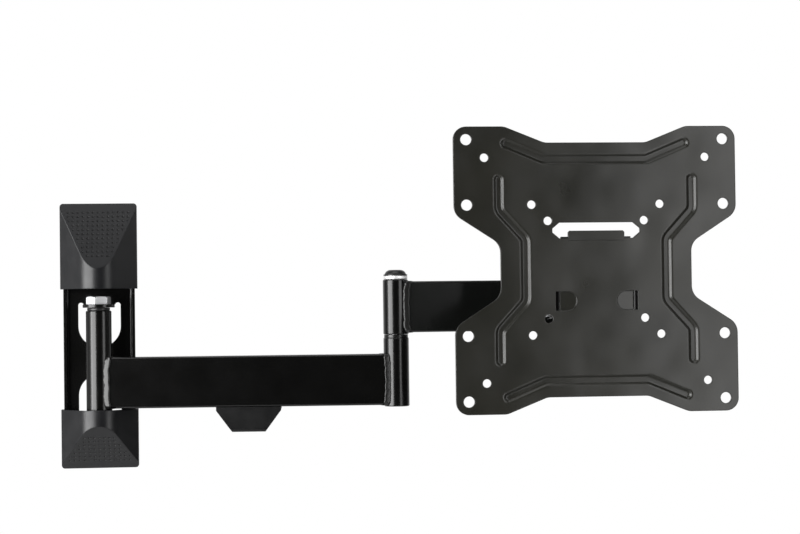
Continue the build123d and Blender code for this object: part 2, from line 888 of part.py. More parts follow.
guide_drop = (0, 0, guide_z - tilt_z)
guide_seats = [
    Plane(origin=seat.origin + guide_drop, x_dir=seat.x_dir, z_dir=seat.z_dir) for seat in (right, left)
]
guide_inner = bracket_half - bracket_sheet
with BuildPart() as guide_screws:
    for seat in guide_seats:
        add(hex_bolt(seat, m6, m6_flats, m6_head, seat_x - guide_inner + m6_nut + bolt_end))
guide_bolts = on_head(guide_screws.part, "guide_bolts")
export_step(guide_bolts, "parts/guide_bolts.step")

with BuildPart() as guide_rings:
    for seat in guide_seats:
        add(washer(seat.offset(-side_washer), guide_washer_outside, m6 / 2 + bolt_clearance, side_washer))
guide_washers = on_head(guide_rings.part, "guide_washers")
export_step(guide_washers, "parts/guide_washers.step")

with BuildPart() as guide_locks:
    for seat in guide_seats:
        inside = seat.offset(guide_inner - seat_x)
        flipped = Plane(origin=inside.origin, x_dir=seat.x_dir, z_dir=seat.z_dir * -1)
        add(lock_nut(flipped, m6, m6_flats, m6_nut))
guide_nuts = on_head(guide_locks.part, "guide_nuts")
export_step(guide_nuts, "parts/guide_nuts.step")

# Tilt bracket: a flange behind the plate, with cheeks bent back to the tilt bolt
flange_high = plate_z + flange_side_high
flange_low = plate_z - flange_side_low
cheek_low = plate_z - louvre_drop - louvre_radius - cheek_below_louvre
slot_line = CenterArc((tilt_y, tilt_z), guide_radius, -90 - tilt_down, tilt_down + tilt_up)
with BuildPart() as tilt_bracket:
    with BuildSketch(Plane.XY.offset(guide_z - 2 * lobe_guide)) as tilt_section:
        with BuildLine():
            Polyline(
                (head_x - tilt_half, plate_back),
                (head_x + tilt_half, plate_back),
                (head_x + tilt_half, tilt_y + tilt_lobe),
                (head_x + tilt_inner, tilt_y + tilt_lobe),
                (head_x + tilt_inner, flange_inner),
                (head_x - tilt_inner, flange_inner),
                (head_x - tilt_inner, tilt_y + tilt_lobe),
                (head_x - tilt_half, tilt_y + tilt_lobe),
                close=True,
            )
        make_face()
        fillet(
            tilt_section.vertices().filter_by_position(Axis.Y, plate_back - 0.1, plate_back + 0.1),
            bracket_bend,
        )
        fillet(
            tilt_section.vertices().filter_by_position(Axis.Y, flange_inner - 0.1, flange_inner + 0.1),
            bend_inside,
        )
    extrude(amount=flange_high - guide_z + 2 * lobe_guide)
    with BuildSketch(Plane.YZ.offset(head_x)):
        with BuildSketch(mode=Mode.PRIVATE) as upper_cheek:
            with Locations((plate_back + bracket_bend / 2, (flange_high + cheek_low) / 2)):
                Rectangle(bracket_bend, flange_high - cheek_low)
            with Locations((tilt_y, tilt_z)):
                Circle(tilt_lobe)
            make_hull()
        with BuildSketch(mode=Mode.PRIVATE) as lower_cheek:
            with Locations((tilt_y, tilt_z)):
                Circle(tilt_lobe)
            for turn in (-tilt_down, tilt_up):
                reach_y = guide_radius * sin(radians(turn))
                reach_z = guide_radius * cos(radians(turn))
                with Locations((tilt_y + reach_y, tilt_z - reach_z)):
                    Circle(lobe_guide)
            make_hull()
        add(upper_cheek.sketch)
        add(lower_cheek.sketch)
    extrude(amount=tilt_half, both=True, mode=Mode.INTERSECT)
    with BuildSketch(Plane.YZ.offset(head_x)):
        with Locations((tilt_y, tilt_z)):
            Circle(m8 / 2 + running_fit)
        SlotArc(arc=slot_line, height=m6 + 2 * guide_play)
    extrude(amount=tilt_half, both=True, mode=Mode.SUBTRACT)
    with BuildSketch(Plane.XZ.offset(-plate_back)):
        with Locations((head_x, (flange_low + cheek_low) / 2 - cheek_below_louvre)):
            Rectangle(2 * (louvre_edge + flange_slit_gap), flange_low - cheek_low + 2 * cheek_below_louvre)
    extrude(amount=-bracket_bend, mode=Mode.SUBTRACT)
    with BuildSketch(Plane.XZ.offset(-flange_inner)):
        with Locations((head_x, (flange_high + plate_z + flange_top) / 2)):
            Rectangle(2 * flange_top_half, plate_z + flange_top - flange_high)
        with Locations((head_x, (flange_low + plate_z - flange_foot) / 2)):
            Rectangle(2 * tail_half, flange_low - plate_z + flange_foot)
    extrude(amount=bracket_sheet)
posed_tilt = on_head(tilt_bracket.part, "tilt_bracket")
export_step(posed_tilt, "parts/tilt_bracket.step")

# Welds along the bracket's tail and under the flange, seen only from behind
with BuildPart() as bracket_welds:
    with BuildSketch(Plane.XZ.offset(-plate_back)):
        with Locations((head_x, (flange_low + plate_z - flange_foot) / 2)):
            Rectangle(2 * (tail_half + plate_weld), flange_low - plate_z + flange_foot - 2 * plate_weld)
            Rectangle(2 * tail_half, flange_low - plate_z + flange_foot, mode=Mode.SUBTRACT)
    extrude(amount=-plate_weld)
    outer_edges = bracket_welds.edges().filter_by(Axis.Z).group_by(Axis.Y)[-1]
    tail_sides = outer_edges.sort_by(lambda e: -abs(e.center().X - head_x))[:2]
    chamfer(tail_sides, plate_weld * 0.95)
plate_welds = on_head(bracket_welds.part, "plate_welds")
export_step(plate_welds, "parts/plate_welds.step")

# Plate for the television: one pressed sheet with beads, a window and two louvres
plate_face = Plane(origin=(head_x, plate_front, plate_z), x_dir=(1, 0, 0), z_dir=(0, -1, 0))
long_end = (top_recess_outer - long_bead_end_inset, plate_half - long_bead_end_drop)
long_turn = (top_recess_inner + long_bead_bend_shift, plate_half - top_recess - long_bead_drop)
long_bead = FilletPolyline(
    (-long_end[0], long_end[1]), (-long_turn[0], long_turn[1]), long_turn, long_end, radius=bead_bend
)
side_end = (plate_half - side_bead_inset, plate_half - side_bead_end_drop)
side_outer = (plate_half - side_bead_inset, waist_outer + side_bead_outer_rise)
side_inner = (waist_half - side_bead_waist_inset, waist_inner + side_bead_inner_rise)
side_bead = FilletPolyline(
    side_end,
    side_outer,
    side_inner,
    (side_inner[0], -side_inner[1]),
    (side_outer[0], -side_outer[1]),
    (side_end[0], -side_end[1]),
    radius=bead_bend,
)
rib_widening = 2 * plate_sheet * (1 - sin(radians(bead_taper))) / cos(radians(bead_taper))
rib_width = bead_width + rib_widening
with BuildPart() as vesa_plate:
    with BuildSketch(plate_face) as outline:
        with BuildLine():
            Polyline(
                (plate_half, waist_outer),
                (plate_half, plate_half),
                (top_recess_outer, plate_half),
                (top_recess_inner, plate_half - top_recess),
                (-top_recess_inner, plate_half - top_recess),
                (-top_recess_outer, plate_half),
                (-plate_half, plate_half),
                (-plate_half, waist_outer),
                (-waist_half, waist_inner),
                (-waist_half, -waist_inner),
                (-plate_half, -waist_outer),
                (-plate_half, -plate_half),
                (-top_recess_outer, -plate_half),
                (-top_recess_inner, top_recess - plate_half),
                (top_recess_inner, top_recess - plate_half),
                (top_recess_outer, -plate_half),
                (plate_half, -plate_half),
                (plate_half, -waist_outer),
                (waist_half, -waist_inner),
                (waist_half, waist_inner),
                close=True,
            )
        make_face()
        bends = outline.vertices()
        corners = bends.filter_by(lambda v: abs(abs(v.X) - abs(v.Y)) < 0.1)
        fillet(corners, plate_corner)
        bends = outline.vertices().filter_by(lambda v: max(abs(v.X), abs(v.Y)) < plate_half - 0.1
                                             or abs(abs(v.X) - top_recess_outer) < 0.1
                                             or abs(abs(v.Y) - waist_outer) < 0.1)
        fillet(bends, outline_blend)
    extrude(amount=-plate_sheet)
    with BuildSketch(plate_face.offset(-plate_sheet)):
        SlotArc(arc=long_bead, height=rib_width)
        SlotArc(arc=side_bead, height=rib_width)
        mirror(about=Plane.XZ)
        mirror(about=Plane.YZ)
    extrude(amount=-bead_depth, taper=bead_taper)
    rib_tops = vesa_plate.faces().group_by(Axis.Y)[-1]
    fillet(rib_tops.edges(), bead_root)
    with BuildSketch(plate_face):
        SlotArc(arc=long_bead, height=bead_width)
        SlotArc(arc=side_bead, height=bead_width)
        mirror(about=Plane.XZ)
        mirror(about=Plane.YZ)
    extrude(amount=-bead_depth, taper=bead_taper, mode=Mode.SUBTRACT)
    front_face = vesa_plate.faces().sort_by(Axis.Y)[0]
    bead_rims = ShapeList(e for wire in front_face.inner_wires() for e in wire.edges())
    fillet(bead_rims, bead_shoulder)
    bead_floors = vesa_plate.faces().filter_by(
        lambda f: f.normal_at().Y < -0.99 and abs(f.center().Y - plate_front - bead_depth) < 0.01
    )
    fillet(bead_floors.edges(), bead_root)
    with BuildSketch(plate_face):
        with BuildLine():
            Polyline(
                (window_half, window_low + window_cut_rise),
                (window_half, window_high - window_cut_rise),
                (window_half - window_cut, window_high),
                (window_cut - window_half, window_high),
                (-window_half, window_high - window_cut_rise),
                (-window_half, window_low + window_cut_rise),
                (window_cut - window_half, window_low),
                (window_half - window_cut, window_low),
                close=True,
            )
        make_face()
        with BuildSketch(mode=Mode.PRIVATE) as tongue:
            with Locations((0, window_low + tongue_height / 2 - tongue_corner)):
                Rectangle(2 * tongue_half, tongue_height + 2 * tongue_corner)
            chamfer(tongue.vertices().group_by(Axis.Y)[-1], tongue_corner)
        add(tongue.sketch, mode=Mode.SUBTRACT)
        for side in (1, -1):
            with Locations((side * (louvre_edge + louvre_slit / 2), -louvre_drop)):
                Rectangle(louvre_slit, 2 * louvre_radius)
            with Locations((side * (louvre_edge + louvre_centre) / 2, -louvre_drop)):
                Rectangle(louvre_edge - louvre_centre, 2 * louvre_radius)
            with Locations((side * louvre_centre, -louvre_drop)):
                Circle(louvre_radius)
        with GridLocations(pitch_large, pitch_large, 2, 2):
            Circle(hole_large / 2)
        with GridLocations(pitch_large, pitch_middle, 2, 2):
            Circle(hole_large / 2)
        with GridLocations(pitch_middle, pitch_middle, 2, 2):
            Circle(hole_small / 2)
        with GridLocations(pitch_small, pitch_small, 2, 2):
            Circle(hole_small / 2)
        with GridLocations(pitch_extra, pitch_extra, 2, 2):
            Circle(hole_small / 2)
    extrude(amount=-plate_sheet, mode=Mode.SUBTRACT)
    with BuildSketch(plate_face):
        with Locations((0, window_low - tongue_seam_drop)):
            Rectangle(2 * tongue_half, tongue_seam)
    extrude(amount=-tongue_seam_depth, mode=Mode.SUBTRACT)
    with BuildPart(mode=Mode.PRIVATE) as louvres:
        with BuildSketch(Plane.XY.offset(plate_z - louvre_drop)):
            for side in (1, -1):
                root = head_x + side * (louvre_centre - louvre_radius)
                lip = head_x + side * louvre_edge
                with BuildLine():
                    Polyline(
                        (root, plate_front + louvre_step),
                        (root, plate_back + louvre_step),
                        (lip, plate_back + louvre_depth),
                        (lip, plate_front + louvre_depth),
                        close=True,
                    )
                make_face()
        extrude(amount=louvre_radius, both=True)
        with BuildSketch(plate_face):
            for side in (1, -1):
                with Locations((side * (louvre_edge + louvre_centre) / 2, -louvre_drop)):
                    Rectangle(louvre_edge - louvre_centre, 2 * louvre_radius)
                with Locations((side * louvre_centre, -louvre_drop)):
                    Circle(louvre_radius)
        extrude(amount=-plate_sheet - louvre_depth, mode=Mode.INTERSECT)
    add(louvres.part)
posed_plate = on_head(vesa_plate.part, "vesa_plate")
export_step(posed_plate, "parts/vesa_plate.step")
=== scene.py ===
import bpy
import bmesh
import math
import random
from mathutils import Matrix, Vector


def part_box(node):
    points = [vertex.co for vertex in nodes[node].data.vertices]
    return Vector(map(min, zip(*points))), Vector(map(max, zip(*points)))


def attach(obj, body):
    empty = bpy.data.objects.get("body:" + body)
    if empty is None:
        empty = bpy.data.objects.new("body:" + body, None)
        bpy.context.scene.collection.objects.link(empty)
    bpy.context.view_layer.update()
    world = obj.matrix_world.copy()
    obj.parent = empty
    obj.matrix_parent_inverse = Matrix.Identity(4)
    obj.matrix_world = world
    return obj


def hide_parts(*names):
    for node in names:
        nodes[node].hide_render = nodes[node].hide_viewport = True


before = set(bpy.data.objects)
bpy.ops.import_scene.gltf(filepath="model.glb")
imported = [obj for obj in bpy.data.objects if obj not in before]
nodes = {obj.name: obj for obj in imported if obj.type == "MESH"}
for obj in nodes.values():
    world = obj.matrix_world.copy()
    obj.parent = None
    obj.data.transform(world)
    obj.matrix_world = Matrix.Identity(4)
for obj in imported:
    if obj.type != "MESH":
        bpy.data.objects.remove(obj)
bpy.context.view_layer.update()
random.seed(11)

# Sizes of the frame that the scene's own pieces follow, in metres and degrees
pivot = Vector((0, -0.019, 0))  # a point on the shoulder's axis
long_reach, short_reach = 0.233, 0.15  # of each arm, from axis to axis
long_turn, short_turn = -5, 10  # of each arm at rest, from the piece that carries it
arm_half_depth, arm_half_height = 0.0085, 0.02

# Nearly all the values of a noise texture lie between these
NOISE_LOW, NOISE_HIGH = 0.3, 0.7


# Shader nodes. An input is a number, a colour or an output of another node

def fill(tree, node, inputs):
    for key, value in inputs.items():
        if isinstance(value, bpy.types.NodeSocket):
            tree.links.new(value, node.inputs[key])
        else:
            node.inputs[key].default_value = value


def make(tree, kind, output, inputs, **settings):
    """Adds a node, fills its inputs and returns one of its outputs."""
    node = tree.nodes.new(kind)
    for key, value in settings.items():
        setattr(node, key, value)
    fill(tree, node, inputs)
    return node.outputs[output]


def compute(tree, operation, *values):
    return make(tree, "ShaderNodeMath", 0, dict(enumerate(values)), operation=operation)


def split(tree, vector, axis):
    return make(tree, "ShaderNodeSeparateXYZ", axis, {"Vector": vector})


def remap(tree, value, start, stop, low, high, kind="LINEAR"):
    """low where the value is at start, high where it is at stop."""
    return make(tree, "ShaderNodeMapRange", "Result", {
        "Value": value, "From Min": start, "From Max": stop, "To Min": low, "To Max": high,
    }, interpolation_type=kind)


def step(tree, value, start, stop):
    """0 before start, 1 past stop, smooth between; start may be the larger."""
    if start < stop:
        return remap(tree, value, start, stop, 0, 1, "SMOOTHSTEP")
    return remap(tree, value, stop, start, 1, 0, "SMOOTHSTEP")


def choose(tree, factor, off, on):
    """The number off where the factor is 0, and on where it is 1."""
    inputs = {"Factor": factor, "A": off, "B": on}
    return make(tree, "ShaderNodeMix", "Result", inputs, data_type="FLOAT")


def blend(tree, factor, colour, other):
    """The colour where the factor is 0, and the other one where it is 1."""
    inputs = {"Factor": factor, "A": colour, "B": (*other, 1)}
    return make(tree, "ShaderNodeMix", "Result", inputs, data_type="RGBA")


def noise(tree, at, scale, detail):
    return make(tree, "ShaderNodeTexNoise", "Fac", {
        "Vector": at, "Scale": scale, "Detail": detail, "Roughness": 0.55,
    })


def spread(tree, texture, low, high):
    return remap(tree, texture, NOISE_LOW, NOISE_HIGH, low, high)


def tint(tree, texture, dark, light):
    node = tree.nodes.new("ShaderNodeValToRGB")
    for element, place, colour in zip(node.color_ramp.elements, (NOISE_LOW, NOISE_HIGH), (dark, light)):
        element.position = place
        element.color = (*colour, 1)
    fill(tree, node, {"Fac": texture})
    return node.outputs["Color"]


def bump(tree, height, distance, strength, normal):
    return make(tree, "ShaderNodeBump", "Normal", {
        "Height": height, "Distance": distance, "Strength": strength, "Normal": normal,
    })


def soft_edges(tree, radius):
    return make(tree, "ShaderNodeBevel", "Normal", {"Radius": radius}, samples=6)


# Materials

def new_material(name):
    """A material, its node tree and shader, and the object's own coordinates in that tree."""
    mat = bpy.data.materials.new(name)
    mat.use_nodes = True
    tree = mat.node_tree
    return mat, tree, tree.nodes["Principled BSDF"], make(tree, "ShaderNodeTexCoord", "Object", {})


def worn(tree, colour, edge_normal, at, rub):
    """The colour rubbed paler in patches along the edges, where the softened normal leaves the face."""
    own_normal = make(tree, "ShaderNodeNewGeometry", "Normal", {})
    near = make(
        tree, "ShaderNodeVectorMath", "Value", {0: edge_normal, 1: own_normal}, operation="DOT_PRODUCT"
    )
    at_edge = step(tree, near, start=0.97, stop=0.86)
    patches = step(tree, noise(tree, at, scale=130, detail=4), start=0.5, stop=0.62)
    return blend(tree, compute(tree, "MULTIPLY", at_edge, patches), colour, (rub, rub, rub * 0.96))


def powder(name, dark, light, rough, edge=0.0006, rub=0.012, patch=40, sway=0.025, wave=0.0002):
    """Black powder coat: fine orange peel, a faint wave with patches of sheen, and a slightly rubbed edge."""
    mat, tree, shader, at = new_material(name)
    edge_normal = soft_edges(tree, edge)
    colour = tint(tree, noise(tree, at, scale=14, detail=5), dark, light)
    cloud = noise(tree, at, scale=patch, detail=3)
    swell = noise(tree, at, scale=patch, detail=1)
    peel = noise(tree, at, scale=450, detail=2)
    grain = noise(tree, at, scale=1500, detail=2)
    waved = bump(tree, swell, distance=wave, strength=0.5, normal=edge_normal)
    peeled = bump(tree, peel, distance=0.00003, strength=0.5, normal=waved)
    fill(tree, shader, {
        "Base Color": worn(tree, colour, edge_normal, at, rub),
        "Roughness": spread(tree, cloud, rough - sway, rough + sway),
        "Normal": bump(tree, grain, distance=0.00001, strength=0.5, normal=peeled),
    })
    return mat


def metal(name, dark, light, rough):
    mat, tree, shader, at = new_material(name)
    fine = noise(tree, at, scale=700, detail=3)
    fill(tree, shader, {
        "Base Color": tint(tree, noise(tree, at, scale=120, detail=4), dark, light),
        "Metallic": 1,
        "Roughness": spread(tree, fine, rough - 0.05, rough + 0.08),
        "Normal": bump(tree, fine, distance=0.00003, strength=0.5, normal=soft_edges(tree, 0.0005)),
    })
    return mat


def plastic(name, dark, light, rough, grain_depth=0.00008, edge=0.0006, specular=0.5):
    mat, tree, shader, at = new_material(name)
    grain = noise(tree, at, scale=1500, detail=2)
    fill(tree, shader, {
        "Base Color": tint(tree, noise(tree, at, scale=25, detail=4), dark, light),
        "Roughness": spread(tree, noise(tree, at, scale=90, detail=3), rough - 0.04, rough + 0.06),
        "Normal": bump(tree, grain, distance=grain_depth, strength=0.4, normal=soft_edges(tree, edge)),
        "Specular IOR Level": specular,
    })
    return mat


def dimpled(name, slope, tip):
    """Moulded plastic whose slanting end has a square grid of round dimples, dented by a bump and painted
    darker inside as painted shade.

    The end slants from upright by the slope, in degrees; tip is its greatest depth. Sizes here are in mm."""
    mat = plastic(
        name, (0.0036, 0.0038, 0.0046), (0.0052, 0.0054, 0.0062), 0.34,
        grain_depth=0.00003, edge=0.0011, specular=0.45,
    )
    tree = mat.node_tree
    shader = tree.nodes["Principled BSDF"]
    at = make(tree, "ShaderNodeTexCoord", "Object", {})
    face_normal = make(tree, "ShaderNodeNewGeometry", "True Normal", {})
    across = compute(tree, "MULTIPLY", split(tree, at, "X"), 1000)
    depth = compute(tree, "MULTIPLY", split(tree, at, "Y"), -1000)
    along = compute(tree, "MULTIPLY", split(tree, at, "Z"), 1000 / math.cos(math.radians(slope)))

    pitch = 3.9
    rim, hollow = 0.95, 0.45  # distances from a dimple's middle where it starts and where it is deepest
    squares = []
    for value in (across, along):
        cell = compute(tree, "FRACT", compute(tree, "ADD", compute(tree, "DIVIDE", value, pitch), 0.5))
        from_middle = compute(tree, "MULTIPLY", compute(tree, "SUBTRACT", cell, 0.5), pitch)
        squares.append(compute(tree, "POWER", from_middle, 2))
    dot = step(tree, compute(tree, "SQRT", compute(tree, "ADD", *squares)), rim, hollow)

    # Only the slanting face has them: not its margins, the tip, the part by the wall or the faces beside it
    half_width, taper = 40.1, 0.916  # of the face by the wall, and what each mm of depth takes off it
    side = compute(tree, "SUBTRACT", half_width, compute(tree, "MULTIPLY", depth, taper))
    margin = compute(tree, "SUBTRACT", side, compute(tree, "ABSOLUTE", across))
    slant = compute(tree, "ABSOLUTE", split(tree, face_normal, "Z"))
    for value, start, stop in (
        (margin, 2.0, 2.4), (depth, tip + 0.3, tip), (depth, 12.2, 12.5),
        (slant, 0.3, 0.35), (slant, 0.85, 0.8),
    ):
        dot = compute(tree, "MULTIPLY", dot, step(tree, value, start, stop))
    plain_colour = shader.inputs["Base Color"].links[0].from_socket
    plain_normal = shader.inputs["Normal"].links[0].from_socket
    # Inside each dimple the colour is blended towards black: painted shade in the hollow, on top of the real
    # dent from the bump
    fill(tree, shader, {
        "Base Color": blend(tree, compute(tree, "MULTIPLY", dot, 0.9), plain_colour, (0.001, 0.001, 0.001)),
        "Normal": bump(
            tree, compute(tree, "MULTIPLY", dot, -1), distance=0.0011, strength=1, normal=plain_normal
        ),
    })
    return mat


black = powder("powder_black", (0.001, 0.001, 0.0009), (0.0016, 0.0016, 0.0015), 0.2)
# The short arm has the same powder coat as the long arm; its paler colour here is painted light, for the lamp
# light that falls more on it
short_arm_painted_light = powder("powder_short_arm_painted_light", (0.0042, 0.0046, 0.0042), (0.0056, 0.006, 0.0056), 0.2)
# The weld beads have the same powder coat as the arms; their paler colour here is painted highlight, for the
# light the beads catch
weld_black_painted_light = powder("powder_weld_painted_light", (0.006, 0.006, 0.0058), (0.011, 0.0108, 0.0105), 0.24)
plate_black = powder(
    "powder_plate", (0.0066, 0.0066, 0.0046), (0.0122, 0.0118, 0.0086), 0.32,
    edge=0.0012, rub=0.03, patch=20, sway=0.05, wave=0.004,
)
upper_plastic = dimpled("upper_cover_plastic", slope=26.7, tip=31)
lower_plastic = dimpled("lower_cover_plastic", slope=38.7, tip=29)
small_plastic = plastic("small_plastic", (0.006, 0.006, 0.006), (0.01, 0.01, 0.01), 0.36)
clip_plastic = plastic("clip_plastic", (0.0025, 0.0026, 0.0027), (0.0042, 0.0043, 0.0045), 0.36, specular=0.3)
cap_plastic = plastic("cap_plastic", (0.01, 0.01, 0.01), (0.016, 0.016, 0.016), 0.3, edge=0.0008)
washer_plastic = plastic(
    "washer_plastic", (0.004, 0.004, 0.004), (0.007, 0.007, 0.007), 0.22, grain_depth=0.00002, edge=0.0002
)
black_nylon = plastic("black_nylon", (0.012, 0.012, 0.012), (0.02, 0.02, 0.02), 0.35)
polished = metal("polished_steel", (0.93, 0.93, 0.93), (0.99, 0.99, 0.99), 0.5)
zinc = metal("zinc_plate", (0.76, 0.77, 0.78), (0.92, 0.93, 0.94), 0.4)

# Every node not named here is black powder coat
finish = {
    "upper_cover": upper_plastic,
    "lower_cover": lower_plastic,
    "shoulder_bushes": black_nylon,
    "elbow_bushes": black_nylon,
    "head_bushes": black_nylon,
    "cable_clip": clip_plastic,
    "elbow_end_plug": small_plastic,
    "elbow_washer": washer_plastic,
    "elbow_cap": cap_plastic,
    "elbow_ring": polished,
    "short_arm": short_arm_painted_light,
    "vesa_plate": plate_black,
}
for name in (
    "shoulder_bolt", "shoulder_nut", "clip_screw", "elbow_thread_plug", "elbow_bolt", "head_bolt", "head_nut",
    "tilt_bolt", "tilt_nut", "tilt_washers", "guide_bolts", "guide_washers", "guide_nuts",
):
    finish[name] = zinc
for name, node in nodes.items():
    for material_slot in node.material_slots:
        material_slot.link = "OBJECT"
        material_slot.material = finish.get(name, black)


def new_piece(name, verts, faces, material):
    mesh = bpy.data.meshes.new(name)
    mesh.from_pydata(verts, [], faces)
    mesh.validate()
    shell = bmesh.new()
    shell.from_mesh(mesh)
    bmesh.ops.recalc_face_normals(shell, faces=shell.faces)
    shell.to_mesh(mesh)
    shell.free()
    mesh.shade_smooth()
    mesh.materials.append(material)
    piece = bpy.data.objects.new(name, mesh)
    bpy.context.collection.objects.link(piece)
    return piece


# Weld beads, rippled along their length, over the plain ones of the frame

def wander(amount, *waves):
    """A smooth uneven curve: a sum of sines of these wavelengths, with random starts."""
    turn = 6.28
    starts = [random.uniform(0, turn) for _ in waves]
    return lambda t: amount * sum(math.sin(turn * t / wave + start) for wave, start in zip(waves, starts))


# How far a bead reaches below its seat, as a part of its height
SUNK = -0.35
# The cross-section of an upright bead: places from the arm's side (1) to the tube's (-1), and heights
FILLET = (
    (1.0, 0.0), (0.99, 0.42), (0.93, 0.78), (0.82, 0.96), (0.66, 1.0), (0.4, 0.91), (0.1, 0.78), (-0.4, 0.55),
    (-0.9, 0.28), (-0.96, -0.2), (-0.7, SUNK), (-0.35, SUNK), (0.0, SUNK), (0.35, SUNK), (0.7, SUNK),
    (0.96, -0.2),
)


def bead(verts, faces, route, way):
    """A weld bead along a closed route of points, each with its outward direction, width and height.

    Its upright runs slope up from the tube to a crest beside the arm, which lies the way given."""
    sides = len(FILLET)
    count = len(route)
    first = len(verts)
    swell = wander(0.04, 0.013, 0.0058)
    ripple = wander(0.012, 0.0023)
    drift = wander(0.00018, 0.02, 0.009)
    edge = wander(0.07, 0.0034, 0.0071, 0.0016)
    calm = 6  # rings over which the unevenness comes and goes, where the bead closes
    toe = -0.2  # the part of the cross-section on the tube, past this, has an uneven edge
    lag = 0.0003  # by which the crest trails behind the seat
    run = 0.0
    for i in range(count):
        here, out, wide, proud = route[i]
        there = route[(i + 1) % count][0]
        before = route[i - 1][0]
        along = (there - before).normalized()
        across = along.cross(out).normalized()
        run += (here - before).length
        fade = min(1.0, i / calm, (count - 1 - i) / calm)
        size = 1 + fade * (swell(run) + ripple(run))
        upright = abs(along.z) ** 2
        for k in range(sides):
            angle = 2 * math.pi * k / sides
            sample = FILLET[k if way > 0 else (sides // 2 - k) % sides]
            side = math.cos(angle) * (1 - upright) + way * sample[0] * upright
            lift = max(math.sin(angle), SUNK) * (1 - upright) + sample[1] * upright
            if side * way < toe:
                side *= 1 + upright * fade * edge(run)
            verts.append(
                here + across * (wide / 2 * size * side + fade * drift(run))
                + out * (proud * size * lift) - along * (lag * max(0.0, lift))
            )
    for i in range(count):
        for k in range(sides):
            a = first + i * sides + k
            b = first + i * sides + (k + 1) % sides
            c = first + (i + 1) % count * sides + (k + 1) % sides
            d = first + (i + 1) % count * sides + k
            faces.append((a, d, c, b))


def joint_bead(verts, faces, x, way, middle):
    """The bead round one end of an arm, where it meets a tube at x; way points along the arm."""
    upright_wide, upright_proud = 0.0052, 0.0014  # on the arm's front and back
    wrap_wide, wrap_proud = 0.0038, 0.0004  # over and under the arm, round the tube
    seat = 0.0067  # of the upright runs, from the tube's axis
    wrap_radius = 0.0117
    end_gap = 0.0022  # between an upright run's end and the arm's edge
    bend, bend_start, bend_length = 0.0011, 0.72, 0.28  # how an upright run leans along the arm near its ends
    corner_share = 0.16  # of a wrap, at each end, taken by rounding the corner
    corner_drop = 0.0009
    upright_steps, wrap_steps = 96, 26
    route = []

    def put(point, out, wide, proud):
        route.append((Vector(point), Vector(out).normalized(), wide, proud))

    reach = math.asin(arm_half_depth / wrap_radius)
    for face, up in ((-1, 1), (1, -1)):
        for i in range(upright_steps + 1):
            t = -1 + 2 * i / upright_steps
            z = up * t * (arm_half_height - end_gap)
            bent = bend * max(0.0, abs(t) - bend_start) / bend_length
            put(
                (x + way * (seat + bent), face * arm_half_depth, middle + z), (0, face, 0),
                upright_wide, upright_proud,
            )
        for i in range(1, wrap_steps):
            t = i / wrap_steps
            side = math.cos(math.pi * t)
            corner = max(0.0, 1 - min(t, 1 - t) / corner_share)
            round_tube = wrap_radius * math.cos(reach * side)
            put(
                (
                    x + way * (round_tube * (1 - corner) + (seat + bend) * corner),
                    face * arm_half_depth * side, middle + up * (arm_half_height - corner_drop * corner),
                ),
                (0, face * corner * (1 if side > 0 else -1), up * (1.15 - corner)),
                wrap_wide, wrap_proud,
            )
    bead(verts, faces, route, way)


def welds(name, node, body, matrix, reach, middle):
    verts = []
    faces = []
    joint_bead(verts, faces, 0, 1, middle)
    joint_bead(verts, faces, reach, -1, middle)
    piece = new_piece(name, [matrix @ v for v in verts], faces, weld_black_painted_light)
    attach(piece, body)
    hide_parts(node)


def middle_height(node):
    low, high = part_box(node)
    return (low[2] + high[2]) / 2


to_long = Matrix.Translation(pivot) @ Matrix.Rotation(math.radians(long_turn), 4, "Z")
to_elbow = to_long @ Matrix.Translation((long_reach, 0, 0))
to_short = to_elbow @ Matrix.Rotation(math.radians(short_turn), 4, "Z")
welds("long_arm_beads", "long_arm_welds", "long_arm", to_long, long_reach, middle_height("long_arm"))
welds("short_arm_beads", "short_arm_welds", "short_arm", to_short, short_reach, middle_height("short_arm"))


# Flanged bushes at the shoulder, with rounded rims that close the gap under the ears

def lathe(verts, faces, profile):
    """A ring about the shoulder's axis, from a closed profile of radii and heights."""
    steps = 64
    first = len(verts)
    count = len(profile)
    for i in range(steps):
        angle = 2 * math.pi * i / steps
        for radius, z in profile:
            verts.append(pivot + Vector((radius * math.cos(angle), radius * math.sin(angle), z)))
    for i in range(steps):
        here = first + i * count
        there = first + (i + 1) % steps * count
        for k in range(count):
            m = (k + 1) % count
            faces.append((here + k, there + k, there + m, here + m))


bush_low, bush_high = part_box("shoulder_bushes")
tube_low, tube_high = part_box("shoulder_tube")
bore = 0.00512
sleeve, sleeve_length = 0.0079, 0.0118
rim = (bush_high[0] - bush_low[0]) / 2
thicker = 0.00022  # than the frame's flanges
round_by = 0.0007
quarter = [math.radians(15 * i) for i in range(7)]
bush_verts = []
bush_faces = []
for end, seat_z, top_z in ((1, tube_high[2], bush_high[2]), (-1, tube_low[2], bush_low[2])):
    top_z += end * thicker
    foot_z = seat_z - end * sleeve_length
    profile = [(bore, foot_z), (sleeve, foot_z), (sleeve, seat_z)]
    for a in quarter:
        profile.append((rim - round_by * (1 - math.sin(a)), seat_z + end * round_by * (1 - math.cos(a))))
    for a in quarter:
        profile.append((rim - round_by * (1 - math.cos(a)), top_z - end * round_by * (1 - math.sin(a))))
    profile.append((bore, top_z))
    lathe(bush_verts, bush_faces, profile)
bushes = new_piece("shoulder_bush_pair", bush_verts, bush_faces, black_nylon)
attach(bushes, "long_arm")
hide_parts("shoulder_bushes")


